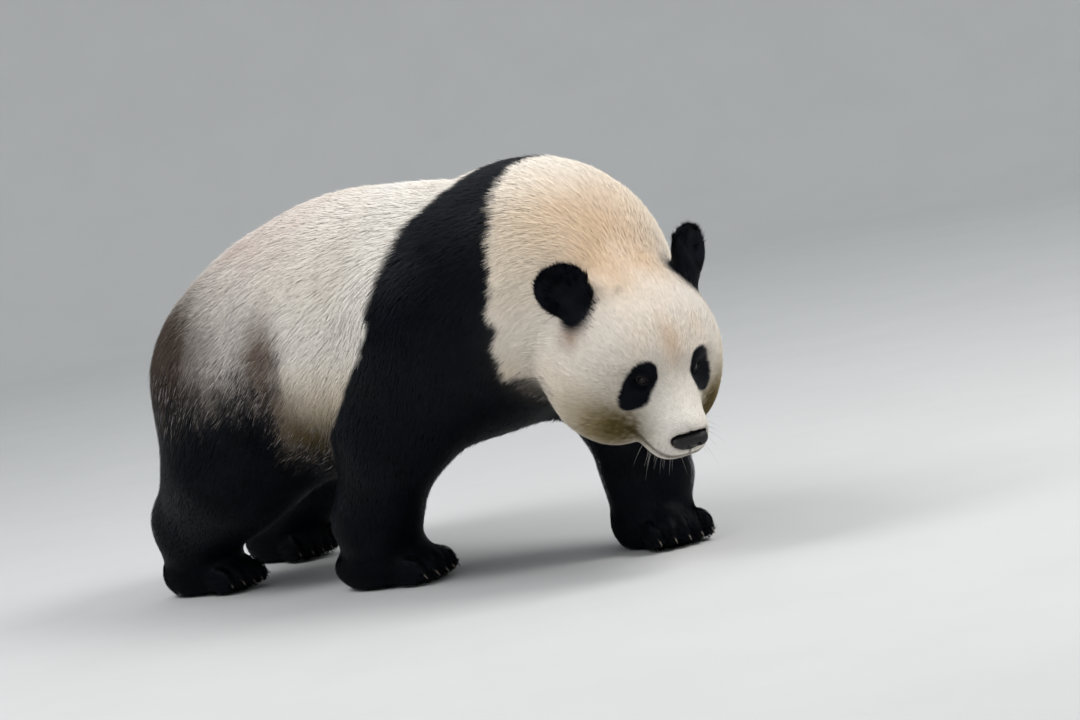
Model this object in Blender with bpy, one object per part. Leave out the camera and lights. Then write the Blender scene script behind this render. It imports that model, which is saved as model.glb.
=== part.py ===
"""Giant panda, life-size, walking with its head low: a still figure cut into named solids of flesh.

Metres. +X runs toward the head, +Y to the animal's left, +Z up, with the floor at Z = 0.
The flesh is one smooth shape, worked out as a distance to ellipsoids and tapered limbs that blend into each
other. It is meshed once, then cut by thin gaps into head, neck, trunk, tail, ears, legs and paws. Eyes, nose
pad and claws are pieces of their own, each in a socket of its own shape.
"""

import math

import bmesh
import bpy
import numpy as np
from mathutils import Matrix, Vector

GAP = 0.0004              # between neighbouring solids
CELL = 0.011              # of the grid that finds the body's surface
FLESH_TRIANGLES = 2740    # of the body before it is cut up
EAR_TRIANGLES = 150
SINK = 0.006              # how far the feet reach under the floor before the floor cuts them flat
ELBOW, ANKLE = 0.200, 0.088   # heights of the cuts through the legs
BODY_AT = (-0.172, 0.0, 0.0)   # puts the middle of the whole figure's box over the origin


def rot(axis, degrees):
    return np.array(Matrix.Rotation(math.radians(degrees), 3, axis.upper()))


# The head's own frame: x to the nose, y to the animal's left, z to the crown.
HEAD_AT = np.array([0.795, -0.025, 0.372])
HEAD_TURN = rot("z", -16) @ rot("y", 39) @ rot("x", 2)
EYE_AT = np.array([0.0965, 0.0485, 0.0265])
EYE_RADIUS = 0.0125
EAR_AT = np.array([-0.068, 0.122, 0.118])
EAR_TURN = rot("z", 39) @ rot("y", -31)
EAR_RADII = (0.020, 0.0505, 0.0455)
EAR_SHIFT = {1: (-0.005, 0, 0.004), -1: (0.006, 0, -0.005)}   # the right ear is held lower than the left
EAR_ROOT = np.array([-0.036, 0.092, 0.070])
NOSE_AT = np.array([0.1905, 0.0, -0.043])
NOSE_RADII = (0.017, 0.033, 0.0185)
NOSE_PITCH = 12

TAIL_ROOT, TAIL_TIP = (-0.355, 0.0, 0.455), (-0.445, 0.0, 0.335)

# Each leg: joints in the body's frame, the paw's middle on the floor, and how far its toes turn to the left.
FORELEGS = {
    "right": dict(shoulder=(0.39, -0.130, 0.47), elbow=(0.28, -0.158, 0.30), wrist=(0.165, -0.148, 0.125),
                  paw=(0.165, -0.132), turn=14),
    "left": dict(shoulder=(0.44, 0.130, 0.47), elbow=(0.53, 0.162, 0.30), wrist=(0.580, 0.145, 0.125),
                 paw=(0.600, 0.128), turn=-18),
}
HINDLEGS = {
    "right": dict(hip=(-0.20, -0.115, 0.40), thigh=(-0.26, -0.130, 0.30), knee=(-0.19, -0.165, 0.25),
                  hock=(-0.360, -0.152, 0.14), paw=(-0.355, -0.150), turn=5),
    "left": dict(hip=(-0.23, 0.115, 0.40), thigh=(-0.335, 0.125, 0.28), knee=(-0.26, 0.160, 0.25),
                 hock=(-0.425, 0.148, 0.14), paw=(-0.470, 0.138), turn=-5),
}
FOREPAW = dict(long=0.230, wide=0.142)
HINDPAW = dict(long=0.225, wide=0.125)
TOES = 5
CLAW = dict(fore=(0.021, 0.0048), hind=(0.019, 0.0044))   # length, radius at the root

WHITE_COAT = ("white_coat", (0.80, 0.76, 0.68), 0.85)
BLACK_COAT = ("black_coat", (0.020, 0.020, 0.026), 0.80)
NOSE_SKIN = ("nose_skin", (0.015, 0.014, 0.014), 0.45)
EYE_GLOSS = ("eye_gloss", (0.025, 0.014, 0.010), 0.08)
CLAW_HORN = ("claw_horn", (0.34, 0.29, 0.23), 0.40)


# ---- distance to simple shapes, for an array of points p ----

def ellipsoid(p, centre, radii, turn=None):
    q = p - np.asarray(centre, float)
    if turn is not None:
        q = q @ turn
    r = np.asarray(radii, float)
    near = np.sqrt(np.einsum("ij,ij->i", q / r, q / r)) + 1e-9
    slope = np.sqrt(np.einsum("ij,ij->i", q / r**2, q / r**2)) + 1e-9
    return near * (near - 1.0) / slope


def limb(p, a, b, ra, rb, squeeze=1.0):
    """A round cone from a to b; squeeze widens it sideways."""
    a, b = np.asarray(a, float), np.asarray(b, float)
    axis = b - a
    q = p - a
    h = np.clip(q @ axis / (axis @ axis), 0, 1)
    off = q - h[:, None] * axis
    off[:, 1] /= squeeze
    return np.sqrt(np.einsum("ij,ij->i", off, off)) - (ra + (rb - ra) * h)


def join(a, b, k):
    """Both shapes, blended over a distance of about k."""
    h = np.clip(k - np.abs(a - b), 0, None) / k
    return np.minimum(a, b) - h * h * k / 4


def carve(a, b, k):
    """The first shape without the second, with an edge rounded over k."""
    h = np.clip(k - np.abs(a + b), 0, None) / k
    return np.maximum(a, -b) + h * h * k / 4


# ---- the animal ----

def in_head(p):
    return (p - HEAD_AT) @ HEAD_TURN


def from_head(q):
    return np.asarray(q) @ HEAD_TURN.T + HEAD_AT


def both_sides(q):
    return np.stack([q[:, 0], np.abs(q[:, 1]), q[:, 2]], 1)


def head(q):
    m = both_sides(q)
    d = ellipsoid(m, (-0.032, 0, 0.028), (0.128, 0.112, 0.105))                              # cranium
    d = join(d, ellipsoid(m, (0.028, 0.020, 0.046), (0.082, 0.070, 0.064)), 0.05)            # forehead
    d = join(d, ellipsoid(m, (-0.010, 0.076, -0.038), (0.104, 0.084, 0.102)), 0.06)          # cheeks
    d = join(d, ellipsoid(m, (0.028, 0.056, -0.082), (0.084, 0.064, 0.056)), 0.05)           # jaw
    d = join(d, limb(m, (0.050, 0, -0.045), (0.156, 0, -0.056), 0.074, 0.044, 1.12), 0.03)   # muzzle
    d = join(d, limb(m, (0.070, 0, 0.010), (0.172, 0, -0.030), 0.040, 0.024, 1.25), 0.03)    # its bridge
    d = join(d, ellipsoid(m, (0.140, 0.025, -0.073), (0.044, 0.029, 0.032)), 0.02)           # upper lip
    d = join(d, ellipsoid(m, (0.118, 0, -0.104), (0.044, 0.036, 0.024)), 0.02)               # chin
    hollow = EYE_AT + np.array([0.030, 0.021, -0.004])
    return carve(d, ellipsoid(m, hollow, (0.030, 0.022, 0.020)), 0.02)


def ears(q):
    m = both_sides(q)
    d = ellipsoid(m, EAR_AT, EAR_RADII, EAR_TURN)
    d = join(d, limb(m, EAR_AT, EAR_ROOT, 0.020, 0.034), 0.02)
    cup = EAR_AT + EAR_TURN @ np.array([0.030, 0, 0])
    return carve(d, ellipsoid(m, cup, (0.022, 0.040, 0.037), EAR_TURN), 0.01)


def trunk(p):
    d = ellipsoid(p, (0.10, 0, 0.462), (0.40, 0.258, 0.256))                                 # barrel
    d = join(d, ellipsoid(p, (-0.02, 0, 0.415), (0.34, 0.245, 0.190)), 0.10)                 # belly
    d = join(d, ellipsoid(p, (-0.190, 0, 0.404), (0.202, 0.208, 0.206)), 0.12)               # rump
    d = join(d, ellipsoid(p, (0.365, 0, 0.479), (0.23, 0.212, 0.203)), 0.12)                  # shoulders
    d = join(d, ellipsoid(p, (0.575, 0, 0.545), (0.180, 0.160, 0.154)), 0.12)                 # withers
    return join(d, ellipsoid(p, (0.45, 0, 0.430), (0.20, 0.180, 0.150)), 0.10)               # chest


def neck(p):
    d = limb(p, (0.55, 0, 0.530), from_head((-0.04, 0, 0.0)), 0.170, 0.125)
    return join(d, ellipsoid(p, (0.665, 0.0, 0.500), (0.135, 0.140, 0.140)), 0.08)           # nape


def tail(p):
    return limb(p, TAIL_ROOT, TAIL_TIP, 0.056, 0.036, 1.15)


def toe_places(size):
    """The middle of each toe in the paw's frame, from the animal's right to its left."""
    for i in range(TOES):
        u = 2 * i / (TOES - 1) - 1
        yield np.array([size["long"] * 0.5 - 0.034 - 0.012 * u * u, u * size["wide"] * 0.36, 0.028])


def paw(p, at, turn, size):
    q = (p - np.array([*at, 0.0])) @ rot("z", turn)
    d = ellipsoid(q, (-0.012, 0, 0.040), (size["long"] * 0.48, size["wide"] * 0.48, 0.052))
    for toe in toe_places(size):
        d = join(d, ellipsoid(q, toe, (0.036, size["wide"] * 0.115, 0.030)), 0.018)
    return d


def foreleg(p, leg):
    d = limb(p, leg["shoulder"], leg["elbow"], 0.142, 0.100)
    d = join(d, limb(p, leg["elbow"], leg["wrist"], 0.100, 0.076), 0.06)
    x, y = leg["paw"]
    d = join(d, limb(p, leg["wrist"], (x - 0.02, y, 0.045), 0.074, 0.056), 0.04)
    return join(d, paw(p, leg["paw"], leg["turn"], FOREPAW), 0.035)


def hindleg(p, leg):
    d = limb(p, leg["hip"], leg["knee"], 0.150, 0.115)
    d = join(d, ellipsoid(p, leg["thigh"], (0.124, 0.105, 0.170)), 0.08)
    d = join(d, limb(p, leg["knee"], leg["hock"], 0.108, 0.088), 0.07)
    x, y = leg["paw"]
    d = join(d, limb(p, leg["hock"], (x - 0.04, y, 0.045), 0.078, 0.052), 0.04)
    return join(d, paw(p, leg["paw"], leg["turn"], HINDPAW), 0.035)


def panda(p):
    """Distance from each point to the tips of the coat, without the ears."""
    q = in_head(p)
    d = join(trunk(p), neck(p), 0.10)
    d = join(d, head(q), 0.035)
    d = join(d, tail(p), 0.03)
    for leg in FORELEGS.values():
        d = join(d, foreleg(p, leg), 0.07)
    for leg in HINDLEGS.values():
        d = join(d, hindleg(p, leg), 0.08)
    return carve(d, p[:, 2] + SINK, 0.004)


# ---- from distances to a mesh ----

def sample(shape, low, high, cell, block=4):
    """Distances on a grid, worked out in full only in the blocks that the surface passes."""
    n = (np.ceil((high - low) / cell / block).astype(int)) * block
    coarse = [low[i] + (np.arange(n[i] // block) + 0.5) * block * cell for i in range(3)]
    centres = np.stack(np.meshgrid(*coarse, indexing="ij"), -1).reshape(-1, 3)
    far = shape(centres)
    values = np.repeat(np.repeat(np.repeat(far.reshape(n // block), block, 0), block, 1), block, 2)
    close = np.nonzero(np.abs(far) < block * cell * 1.6)[0]
    corner = np.stack(np.unravel_index(close, n // block), 1) * block
    step = np.stack(np.meshgrid(*[np.arange(block)] * 3, indexing="ij"), -1).reshape(-1, 3)
    index = (corner[:, None, :] + step[None]).reshape(-1, 3)
    values[index[:, 0], index[:, 1], index[:, 2]] = shape(low + index * cell)
    return values


def surface_nets(v, low, cell):
    """One point in each cell that the surface crosses, and a quad round each grid edge that it crosses."""
    inside = v < 0
    total = np.zeros(tuple(s - 1 for s in v.shape) + (3,))
    count = np.zeros(tuple(s - 1 for s in v.shape))
    crossings = []
    for axis in range(3):
        start = tuple(slice(None, -1) if i == axis else slice(None) for i in range(3))
        end = tuple(slice(1, None) if i == axis else slice(None) for i in range(3))
        at = np.argwhere(inside[start] != inside[end])
        others = [i for i in range(3) if i != axis]
        at = at[((at[:, others] > 0) & (at[:, others] < np.array(v.shape)[others] - 1)).all(1)]
        a = v[start][tuple(at.T)]
        b = v[end][tuple(at.T)]
        point = at.astype(float)
        point[:, axis] += a / (a - b)
        for du in (0, 1):
            for dw in (0, 1):
                cell_at = at.copy()
                cell_at[:, others[0]] -= du
                cell_at[:, others[1]] -= dw
                np.add.at(total, tuple(cell_at.T), point)
                np.add.at(count, tuple(cell_at.T), 1)
        crossings.append((axis, others, at, a < 0))
    used = count > 0
    number = np.full(count.shape, -1)
    number[used] = np.arange(used.sum())
    points = low + total[used] / count[used][:, None] * cell
    quads = []
    for axis, others, at, outward in crossings:
        ring = []
        for du, dw in ((0, 0), (1, 0), (1, 1), (0, 1)):
            cell_at = at.copy()
            cell_at[:, others[0]] -= du
            cell_at[:, others[1]] -= dw
            ring.append(number[tuple(cell_at.T)])
        ring = np.stack(ring, 1)
        flip = outward == (axis == 1)
        ring[flip] = ring[flip][:, ::-1]
        quads.append(ring)
    return points, np.concatenate(quads)


def settle(shape, points, rounds=2, e=0.0008):
    """Moves each point along the slope onto the surface."""
    for _ in range(rounds):
        d = shape(points)
        slope = np.stack([shape(points + step) - shape(points - step) for step in np.eye(3) * e], 1)
        slope /= 2 * e
        size = np.maximum(np.einsum("ij,ij->i", slope, slope), 0.2)
        points = points - (d / size)[:, None] * slope
    return points


# ---- Blender objects ----

def material(kind):
    name, colour, roughness = kind
    found = bpy.data.materials.get(name)
    if found:
        return found
    made = bpy.data.materials.new(name)
    made.use_nodes = True
    shader = made.node_tree.nodes["Principled BSDF"]
    shader.inputs["Base Color"].default_value = (*colour, 1.0)
    shader.inputs["Roughness"].default_value = roughness
    shader.inputs["Metallic"].default_value = 0.0
    return made


def object_from(name, mesh, kind=None):
    made = bpy.data.objects.new(name, mesh)
    bpy.context.scene.collection.objects.link(made)
    if kind:
        mesh.materials.clear()
        mesh.materials.append(material(kind))
        mesh.shade_smooth()
        mesh.set_sharp_from_angle(angle=math.radians(50))
    return made


def mesh_from(name, points, faces):
    mesh = bpy.data.meshes.new(name)
    mesh.from_pydata([tuple(point) for point in points], [], [tuple(face) for face in faces])
    mesh.update()
    return mesh


def with_modifier(mesh, kind, **settings):
    """The mesh as one modifier leaves it."""
    holder = object_from("holder", mesh)
    modifier = holder.modifiers.new("work", kind)
    for key, value in settings.items():
        setattr(modifier, key, value)
    graph = bpy.context.evaluated_depsgraph_get()
    result = bpy.data.meshes.new_from_object(holder.evaluated_get(graph))
    bpy.data.objects.remove(holder)
    return result


def boolean(mesh, cutter, operation):
    tool = object_from("tool", cutter)
    tool.hide_render = True
    tool.display_type = "WIRE"
    result = with_modifier(mesh, "BOOLEAN", operation=operation, solver="EXACT", object=tool)
    bpy.data.objects.remove(tool)
    return result


def block(low, high, grow=0.0, at=(0, 0, 0), turn=None):
    """A box mesh; turn is a 3 by 3 rotation about the point at."""
    low, high = Vector(low) - Vector([grow] * 3), Vector(high) + Vector([grow] * 3)
    bm = bmesh.new()
    bmesh.ops.create_cube(bm, size=1.0)
    spin = Matrix(turn.tolist()) if turn is not None else Matrix.Identity(3)
    for vert in bm.verts:
        spot = Vector([(low[i] + high[i]) / 2 + vert.co[i] * (high[i] - low[i]) for i in range(3)])
        vert.co = spin @ spot + Vector(at)
    mesh = bpy.data.meshes.new("block")
    bm.to_mesh(mesh)
    bm.free()
    return mesh


def cut_out(mesh, low, high, **where):
    """The part of the mesh inside a box, and the rest, with a gap between the two."""
    piece = boolean(mesh, block(low, high, **where), "INTERSECT")
    rest = boolean(mesh, block(low, high, grow=GAP, **where), "DIFFERENCE")
    return piece, rest


def half(mesh, point, normal):
    """What lies behind a plane, with the cut closed."""
    bm = bmesh.new()
    bm.from_mesh(mesh)
    everything = bm.verts[:] + bm.edges[:] + bm.faces[:]
    bmesh.ops.bisect_plane(bm, geom=everything, plane_co=point, plane_no=normal, clear_outer=True, dist=1e-7)
    rim = [edge for edge in bm.edges if edge.is_boundary]
    bmesh.ops.holes_fill(bm, edges=rim, sides=0)
    bmesh.ops.recalc_face_normals(bm, faces=bm.faces)
    result = bpy.data.meshes.new("half")
    bm.to_mesh(result)
    bm.free()
    return result


def split(mesh, point, normal):
    """The parts in front of a plane and behind it, with a gap between the two."""
    point, normal = Vector(point), Vector(normal).normalized()
    behind = half(mesh, point - normal * GAP / 2, normal)
    ahead = half(mesh, point + normal * GAP / 2, -normal)
    return ahead, behind


def flesh():
    """The whole body as one closed mesh, finer on the head and the paws, standing flat on the floor."""
    low, high = np.array([-0.70, -0.40, -0.03]), np.array([1.02, 0.40, 0.80])
    points, quads = surface_nets(sample(panda, low, high, CELL), low, CELL)
    points = settle(panda, points)
    mesh = mesh_from("flesh", points, quads)
    mesh.shade_smooth()
    bm = bmesh.new()
    bm.from_mesh(mesh)
    bmesh.ops.triangulate(bm, faces=bm.faces)
    faces = len(bm.faces)
    bm.to_mesh(mesh)
    bm.free()
    plain = bpy.data.objects.new("flesh", mesh)
    bpy.context.scene.collection.objects.link(plain)
    group = plain.vertex_groups.new(name="coarse")
    detail = np.minimum(head(in_head(points)) + 0.02, np.maximum(points[:, 2] - 0.10, 0) * 2)
    weights = np.clip(0.25 + detail * 12, 0.05, 1.0)
    for i, weight in enumerate(weights):
        group.add([i], float(weight), "REPLACE")
    fewer = plain.modifiers.new("fewer", "DECIMATE")
    fewer.ratio = FLESH_TRIANGLES / faces
    fewer.vertex_group = group.name
    fewer.vertex_group_factor = 0.0003
    graph = bpy.context.evaluated_depsgraph_get()
    result = bpy.data.meshes.new_from_object(plain.evaluated_get(graph))
    bpy.data.objects.remove(plain)
    return half(result, (0, 0, 0), (0, 0, -1))


def ball(centre, radii, turn, grow=0.0, segments=14, rings=8):
    """An ellipsoid mesh, its poles along its own x."""
    bm = bmesh.new()
    bmesh.ops.create_uvsphere(bm, u_segments=segments, v_segments=rings, radius=1.0)
    size = Matrix.Diagonal([r + grow for r in radii])
    upright = Matrix.Rotation(math.radians(90), 3, "Y")
    for vert in bm.verts:
        vert.co = Matrix(turn.tolist()) @ (size @ (upright @ vert.co)) + Vector(centre)
    mesh = bpy.data.meshes.new("ball")
    bm.to_mesh(mesh)
    bm.free()
    return mesh


def claw(root, heading, length, radius, grow=0.0, sides=6, rings=4):
    """A curved, tapering claw from the toe at root, along heading and bending to the floor."""
    ahead = Vector((*heading, 0)).normalized()
    up = Vector((0, 0, 1))
    side = up.cross(ahead)
    points, faces = [], []
    for i in range(rings):
        t = i / (rings - 1)
        bend = 0.15 + 0.95 * t
        reach = (t * length * 1.45) if not grow or i else -grow
        spot = Vector(root) + ahead * reach * math.cos(bend * 0.6) - up * reach * math.sin(bend * 0.45)
        r = radius * (1 - 0.80 * t**1.4) + grow
        across = (ahead * math.sin(bend) + up * math.cos(bend)).normalized()
        for j in range(sides):
            a = 2 * math.pi * j / sides
            points.append(spot + side * (0.75 * r * math.cos(a)) + across * (r * math.sin(a)))
    for i in range(rings - 1):
        for j in range(sides):
            k = (j + 1) % sides
            faces.append((i * sides + j, i * sides + k, (i + 1) * sides + k, (i + 1) * sides + j))
    faces.append(tuple(reversed(range(sides))))
    faces.append(tuple((rings - 1) * sides + j for j in range(sides)))
    mesh = mesh_from("claw", points, faces)
    bm = bmesh.new()
    bm.from_mesh(mesh)
    bmesh.ops.recalc_face_normals(bm, faces=bm.faces)
    bm.to_mesh(mesh)
    bm.free()
    return mesh


def add_claws(mesh, which, side, leg, size):
    """Puts each toe's claw in its own socket. Returns the paw with its sockets cut."""
    length, radius = CLAW[which]
    spin = rot("z", leg["turn"])
    for number, toe in enumerate(toe_places(size), 1):
        root = spin @ (toe + np.array([0.016, 0, -0.001])) + np.array([*leg["paw"], 0.0])
        heading = (spin @ np.array([1.0, toe[1] * 1.5, 0]))[:2]
        mesh = boolean(mesh, claw(root, heading, length, radius, grow=GAP), "DIFFERENCE")
        object_from(f"claw_{which}_{side}_{number}", claw(root, heading, length, radius), CLAW_HORN)
    return mesh


def cut_leg(body, which, side, leg, size, boxes):
    """Cuts a leg from the body: upper part, lower part and paw, with its claws. Returns the rest."""
    lower_box, upper_box = boxes
    lower, rest = cut_out(body, *lower_box)
    upper, rest = cut_out(rest, *upper_box)
    lower, foot = split(lower, (0, 0, ANKLE), (0, 0, 1))
    names = {"fore": ("upper_arm", "forearm", "forepaw"), "hind": ("thigh", "shank", "hindpaw")}[which]
    object_from(f"{names[0]}_{side}", upper, BLACK_COAT)
    object_from(f"{names[1]}_{side}", lower, BLACK_COAT)
    object_from(f"{names[2]}_{side}", add_claws(foot, which, side, leg, size), BLACK_COAT)
    return rest


def ear_mesh(sign, grow=0.0):
    """The left ear, or with sign -1 the right one."""
    low, high = EAR_AT - 0.10, EAR_AT + 0.076
    points, quads = surface_nets(sample(ears, low, high, 0.004), low, 0.004)
    points = settle(ears, points)
    mesh = with_modifier(mesh_from("ear", points, quads), "DECIMATE", ratio=EAR_TRIANGLES / 2 / len(quads))
    for vert, normal in zip(mesh.vertices, [vert.normal.copy() for vert in mesh.vertices]):
        vert.co = Vector(from_head((np.array(vert.co + normal * grow) + EAR_SHIFT[sign]) * (1, sign, 1)))
    if sign < 0:
        mesh.flip_normals()
    return mesh


def add_ears(mesh):
    """Each ear stands with its root in a slot of its own shape. Returns the body with the slots cut."""
    for side, sign in (("left", 1), ("right", -1)):
        mesh = boolean(mesh, ear_mesh(sign, grow=GAP * 1.5), "DIFFERENCE")
        object_from(f"ear_{side}", ear_mesh(sign), BLACK_COAT)
    return mesh


def cut_head(body):
    """The head with sockets for the eyes and the nose pad, and those three."""
    piece, rest = cut_out(body, (-0.082, -0.21, -0.175), (0.30, 0.21, 0.24), at=HEAD_AT, turn=HEAD_TURN)
    pitch = HEAD_TURN @ rot("y", NOSE_PITCH)
    nose_at = from_head(NOSE_AT)
    piece = boolean(piece, ball(nose_at, NOSE_RADII, pitch, grow=GAP), "DIFFERENCE")
    object_from("nose", ball(nose_at, NOSE_RADII, pitch), NOSE_SKIN)
    for side, sign in (("left", 1), ("right", -1)):
        at = from_head(EYE_AT * (1, sign, 1))
        radii = (EYE_RADIUS,) * 3
        piece = boolean(piece, ball(at, radii, HEAD_TURN, grow=GAP), "DIFFERENCE")
        object_from(f"eye_{side}", ball(at, radii, HEAD_TURN), EYE_GLOSS)
    object_from("head", piece, WHITE_COAT)
    return rest


def cut_tail(body):
    axis = np.array(TAIL_TIP) - np.array(TAIL_ROOT)
    axis /= np.linalg.norm(axis)
    turn = np.stack([axis, [0, 1, 0], np.cross(axis, [0, 1, 0])], 1)
    at = np.array(TAIL_ROOT) + axis * 0.085
    piece, rest = cut_out(body, (0, -0.10, -0.10), (0.16, 0.10, 0.045), at=at, turn=turn)
    object_from("tail", piece, WHITE_COAT)
    return rest


def cut_trunk(body):
    """Neck, chest with the shoulder band, belly and rump, by slanting planes."""
    front, body = split(body, (0.50, 0, 0.715), (0.195, 0, 0.10))
    object_from("neck", front, WHITE_COAT)
    chest, body = split(body, (0.37, 0, 0.71), (0.35, 0, -0.12))
    object_from("chest", chest, BLACK_COAT)
    belly, rump = split(body, (-0.12, 0, 0.5), (1, 0, 0.15))
    object_from("belly", belly, WHITE_COAT)
    object_from("rump", rump, WHITE_COAT)


def main():
    for old in list(bpy.data.objects):
        bpy.data.objects.remove(old)
    body = add_ears(flesh())
    body = cut_head(body)
    body = cut_tail(body)
    # For each leg, the box that cuts its lower part and then the one that cuts its upper part.
    leg_boxes = {
        ("fore", "right"): (((0.02, -0.36, -0.02), (0.40, -0.012, ELBOW)),
                            ((0.13, -0.36, ELBOW), (0.445, -0.012, 0.345))),
        ("fore", "left"): (((0.385, 0.012, -0.02), (0.76, 0.36, ELBOW)),
                           ((0.385, 0.012, ELBOW), (0.76, 0.36, 0.345))),
        ("hind", "right"): (((-0.60, -0.36, -0.02), (-0.045, -0.012, ELBOW)),
                            ((-0.60, -0.36, ELBOW), (-0.045, -0.012, 0.345))),
        ("hind", "left"): (((-0.66, 0.012, -0.02), (-0.115, 0.36, ELBOW)),
                           ((-0.66, 0.012, ELBOW), (-0.115, 0.36, 0.345))),
    }
    for (which, side), boxes in leg_boxes.items():
        leg = (FORELEGS if which == "fore" else HINDLEGS)[side]
        body = cut_leg(body, which, side, leg, FOREPAW if which == "fore" else HINDPAW, boxes)
    cut_trunk(body)
    for made in bpy.data.objects:
        made.location = BODY_AT


main()
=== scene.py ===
"""Looks of the giant panda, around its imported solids: one skin under the coat, the coat in tufts, eyes, nose
pad and claws.

Metres. +X runs toward the head, +Y to the animal's left, +Z up. The shape is the same distance to ellipsoids
and limbs as the solids were made from. The solids reach to the tips of the coat, so the skin lies inside them
by the coat's depth, and each tuft grows from the skin back out to them.
"""

import math

import bmesh
import bpy
import numpy as np
from mathutils import Matrix, Vector


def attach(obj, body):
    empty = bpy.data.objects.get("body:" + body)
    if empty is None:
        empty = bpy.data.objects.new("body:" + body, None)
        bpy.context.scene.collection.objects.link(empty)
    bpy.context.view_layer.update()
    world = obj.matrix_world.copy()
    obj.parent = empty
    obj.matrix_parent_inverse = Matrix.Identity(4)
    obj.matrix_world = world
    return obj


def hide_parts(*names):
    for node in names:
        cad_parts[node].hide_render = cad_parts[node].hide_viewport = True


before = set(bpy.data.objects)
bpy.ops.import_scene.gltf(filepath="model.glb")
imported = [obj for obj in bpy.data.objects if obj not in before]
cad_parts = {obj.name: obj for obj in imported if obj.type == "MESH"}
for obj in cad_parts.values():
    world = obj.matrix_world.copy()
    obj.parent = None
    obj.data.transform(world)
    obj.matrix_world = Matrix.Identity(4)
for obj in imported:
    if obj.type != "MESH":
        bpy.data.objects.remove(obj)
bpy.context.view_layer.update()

BODY_AT = np.array([-0.172, 0.0, 0.0])   # from the frame in which the body is described to the model's own
FLOOR_GAP = 0.003                        # the skin's soles stand this far over the floor, on their short hair


def rot(axis, degrees):
    return np.array(Matrix.Rotation(math.radians(degrees), 3, axis.upper()))


def dot(a, b):
    """The products of the rows of two arrays."""
    return np.einsum("ij,ij->i", a, b)


def unit(v):
    v = np.asarray(v, float)
    return v / np.maximum(np.linalg.norm(v, axis=-1, keepdims=True), 1e-9)


# The head's own frame: x to the nose, y to the animal's left, z to the crown.
HEAD_AT = np.array([0.795, -0.025, 0.372])
HEAD_TURN = rot("z", -16) @ rot("y", 39) @ rot("x", 2)
EYE_AT = np.array([0.0965, 0.0485, 0.0265])
EAR_AT = np.array([-0.068, 0.122, 0.118])
EAR_TURN = rot("z", 39) @ rot("y", -31)
EAR_RADII = (0.020, 0.0505, 0.0455)
EAR_SHIFT = np.array([[-0.005, 0, 0.004], [0.006, 0, -0.005]])   # the right ear is held lower than the left
EAR_ROOT = np.array([-0.036, 0.092, 0.070])
EAR_BASE = np.array([-0.045, 0.112, 0.086])
NOSE_AT = np.array([0.1905, 0.0, -0.043])
NOSE_RADII = (0.017, 0.033, 0.0185)
NOSE_PITCH = 12

TAIL_ROOT, TAIL_TIP = (-0.355, 0.0, 0.455), (-0.445, 0.0, 0.335)

FORELEGS = {
    "right": dict(shoulder=(0.39, -0.130, 0.47), elbow=(0.28, -0.158, 0.30), wrist=(0.165, -0.148, 0.125),
                  paw=(0.165, -0.132), turn=14),
    "left": dict(shoulder=(0.44, 0.130, 0.47), elbow=(0.53, 0.162, 0.30), wrist=(0.580, 0.145, 0.125),
                 paw=(0.600, 0.128), turn=-18),
}
HINDLEGS = {
    "right": dict(hip=(-0.20, -0.115, 0.40), thigh=(-0.26, -0.130, 0.30), knee=(-0.19, -0.165, 0.25),
                  hock=(-0.360, -0.152, 0.14), paw=(-0.355, -0.150), turn=5),
    "left": dict(hip=(-0.23, 0.115, 0.40), thigh=(-0.335, 0.125, 0.28), knee=(-0.26, 0.160, 0.25),
                 hock=(-0.425, 0.148, 0.14), paw=(-0.470, 0.138), turn=-5),
}
LIMB = dict(fore=("shoulder", "elbow", "wrist"), hind=("hip", "knee", "hock"))
FOREPAW = dict(long=0.230, wide=0.142)
HINDPAW = dict(long=0.225, wide=0.125)
TOES = 5
CLAW = dict(fore=(0.021, 0.0048), hind=(0.019, 0.0044))   # length, radius at the root


# ---- distance to simple shapes, for an array of points p ----

def ellipsoid(p, centre, radii, turn=None):
    q = p - np.asarray(centre, float)
    if turn is not None:
        q = q @ turn
    r = np.asarray(radii, float)
    near_to = np.sqrt(dot(q / r, q / r)) + 1e-9
    slope = np.sqrt(dot(q / r**2, q / r**2)) + 1e-9
    return near_to * (near_to - 1.0) / slope


def limb(p, a, b, ra, rb, squeeze=1.0):
    """A round cone from a to b; squeeze widens it sideways."""
    a, b = np.asarray(a, float), np.asarray(b, float)
    axis = b - a
    q = p - a
    h = np.clip(q @ axis / (axis @ axis), 0, 1)
    off = q - h[:, None] * axis
    off[:, 1] /= squeeze
    return np.sqrt(dot(off, off)) - (ra + (rb - ra) * h)


def join(a, b, k):
    """Both shapes, blended over a distance of about k."""
    h = np.clip(k - np.abs(a - b), 0, None) / k
    return np.minimum(a, b) - h * h * k / 4


def carve(a, b, k):
    """The first shape without the second, with an edge rounded over k."""
    h = np.clip(k - np.abs(a + b), 0, None) / k
    return np.maximum(a, -b) + h * h * k / 4


def near(p, low, high, shape, far=0.3):
    """The shape's distance inside a box that holds all it can blend with, and a large one elsewhere."""
    d = np.full(len(p), far)
    inside = ((p > low) & (p < high)).all(1)
    if inside.any():
        d[inside] = shape(p[inside])
    return d


def step(x, low, high):
    """0 below low, 1 above high, smooth between. low may be the larger."""
    t = np.clip((x - low) / (high - low), 0, 1)
    return t * t * (3 - 2 * t)


def spot(p, centre, radii):
    """1 at the centre, falling softly to 0 past the radii."""
    q = (p - np.asarray(centre, float)) / np.asarray(radii, float)
    return np.exp(-dot(q, q))


# ---- the animal ----

def in_head(p):
    return (p - HEAD_AT) @ HEAD_TURN


def from_head(q):
    return np.asarray(q) @ HEAD_TURN.T + HEAD_AT


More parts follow.
